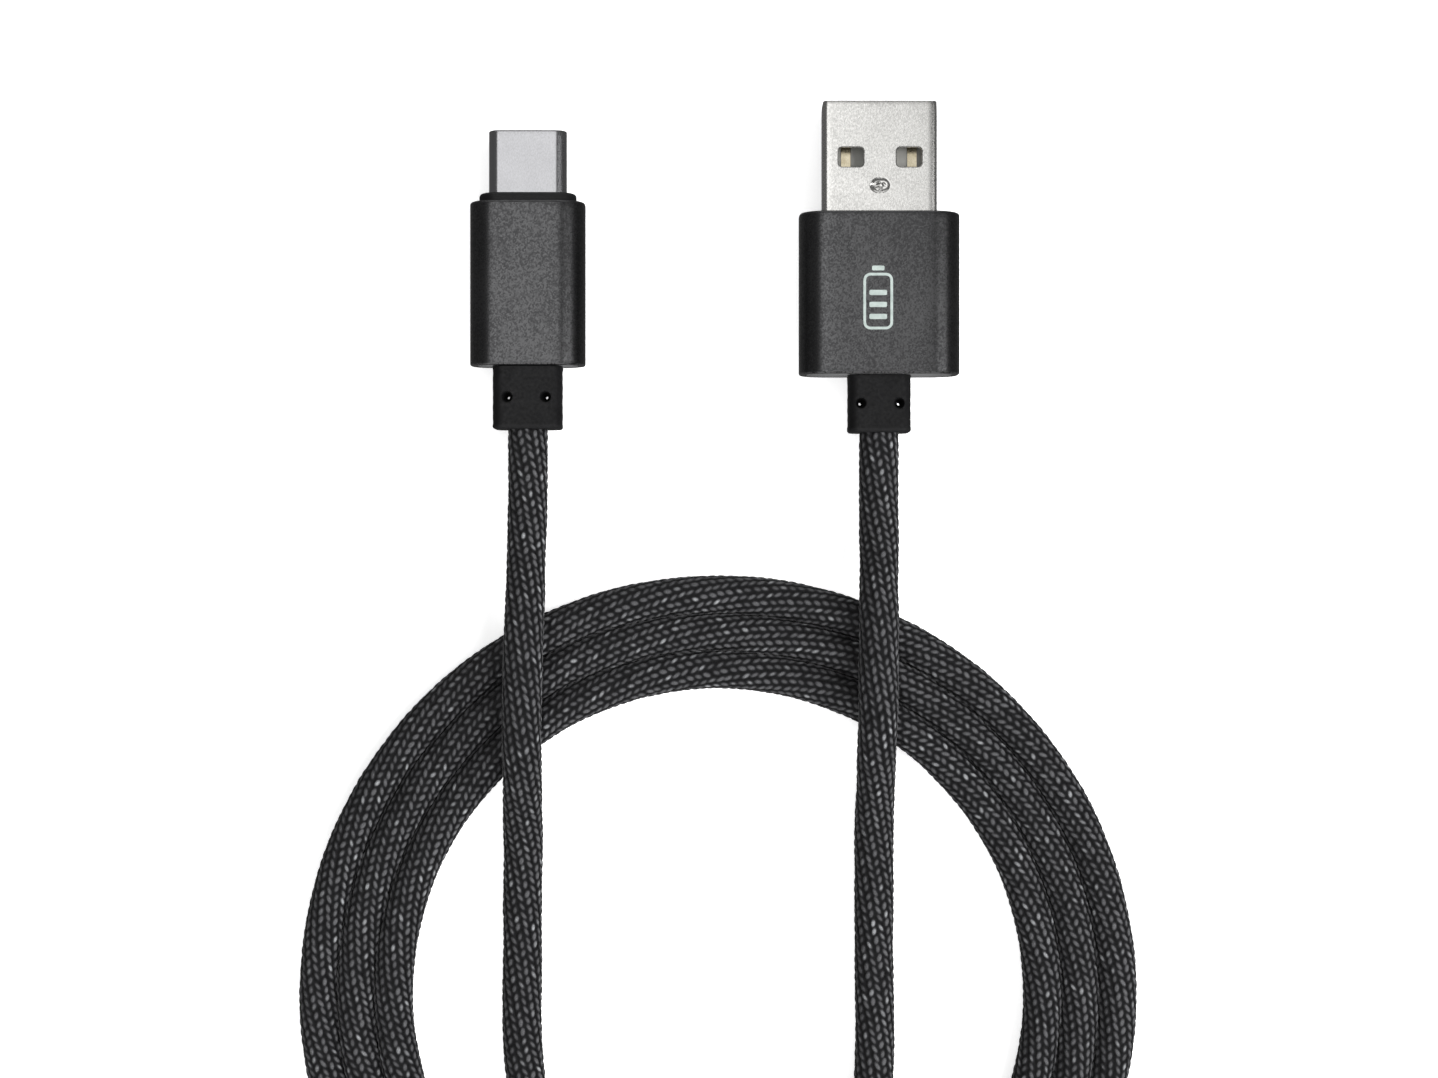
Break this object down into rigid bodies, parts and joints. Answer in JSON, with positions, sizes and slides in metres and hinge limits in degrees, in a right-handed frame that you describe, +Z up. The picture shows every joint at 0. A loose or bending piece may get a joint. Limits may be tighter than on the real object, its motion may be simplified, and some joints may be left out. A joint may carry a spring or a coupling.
{
  "type": "charging cable",
  "caption": "Braided charging cable with a USB-A plug and a USB-C plug in metal sleeves, wound in a flat ring with both ends brought out side by side.",
  "frame": {"origin": "centre, at the base, of the box round the two plugs, on the surface that the cable lies on", "axes": "+Y is the way both plugs point, +X runs from the USB-C plug to the USB-A plug, +Z is up"},
  "size_m": [0.089, 0.1389, 0.0085],
  "materials": {
    "nickel_shell": "folded sheet steel, satin nickel plating with a fine grain",
    "steel_shell": "drawn stainless steel, satin",
    "shield_can": "tinned sheet steel, dull",
    "gold_contact": "gold-flashed copper alloy strip",
    "spring_steel": "bright spring steel strip",
    "anodised_sleeve": "bead-blasted aluminium, anodised dark grey",
    "end_plate_gloss": "moulded black plastic with a polished face",
    "boot_rubber": "soft moulded black elastomer, slightly wrinkled",
    "mould_black": "black moulded plastic, matt",
    "insulator_white": "ivory moulded insulator",
    "insulator_black": "black glass-filled moulded insulator",
    "board_green": "green solder-mask circuit board",
    "chip_body": "glazed black chip with tinned ends",
    "wire_red": "red extruded insulation",
    "wire_white": "white extruded insulation",
    "wire_green": "green extruded insulation",
    "wire_black": "black extruded insulation",
    "jacket_black": "black extruded inner jacket",
    "braid_grey": "woven dark-grey yarn sleeve"
  },
  "bodies": {
    "cord": {"cord_coil": "braid_grey", "usb_a_lead": "braid_grey", "usb_c_lead": "braid_grey", "usb_a_flex_lead": "braid_grey", "usb_c_flex_lead": "braid_grey"},
    "usb_a_plug": {"usb_a_shell": "nickel_shell", "usb_a_insulator": "insulator_white", "usb_a_contact_power": "gold_contact", "usb_a_contact_data_minus": "gold_contact", "usb_a_contact_data_plus": "gold_contact", "usb_a_contact_ground": "gold_contact", "usb_a_rear_shield": "shield_can", "usb_a_inner_mould": "mould_black", "usb_a_sleeve": "anodised_sleeve", "usb_a_end_plate": "end_plate_gloss", "usb_a_strain_relief": "boot_rubber", "usb_a_jacket_end": "jacket_black", "usb_a_wire_power": "wire_red", "usb_a_wire_data_minus": "wire_white", "usb_a_wire_data_plus": "wire_green", "usb_a_wire_ground": "wire_black"},
    "usb_c_plug": {"usb_c_shell": "steel_shell", "usb_c_insulator": "insulator_black", "usb_c_contacts_top": "gold_contact", "usb_c_contacts_bottom": "gold_contact", "usb_c_ground_spring_top": "spring_steel", "usb_c_ground_spring_bottom": "spring_steel", "usb_c_latch": "spring_steel", "usb_c_circuit_board": "board_green", "usb_c_pull_up_resistor": "chip_body", "usb_c_rear_shield": "shield_can", "usb_c_collar": "mould_black", "usb_c_inner_mould": "mould_black", "usb_c_sleeve": "anodised_sleeve", "usb_c_end_plate": "end_plate_gloss", "usb_c_strain_relief": "boot_rubber", "usb_c_jacket_end": "jacket_black", "usb_c_wire_power": "wire_red", "usb_c_wire_data_minus": "wire_white", "usb_c_wire_data_plus": "wire_green", "usb_c_wire_ground": "wire_black"}
  },
  "joints": [
    {"name": "usb_a_bend", "type": "hinge", "parent": "cord", "child": "usb_a_plug", "pos_m": [0.0174, -0.024, 0.0038], "axis": [0, 0, 1], "range_deg": [-30, 15], "deforming": ["usb_a_flex_lead"]},
    {"name": "usb_c_bend", "type": "hinge", "parent": "cord", "child": "usb_c_plug", "pos_m": [-0.01975, -0.024, 0.0031], "axis": [0, 0, 1], "range_deg": [-15, 30], "deforming": ["usb_c_flex_lead"]}
  ]
}
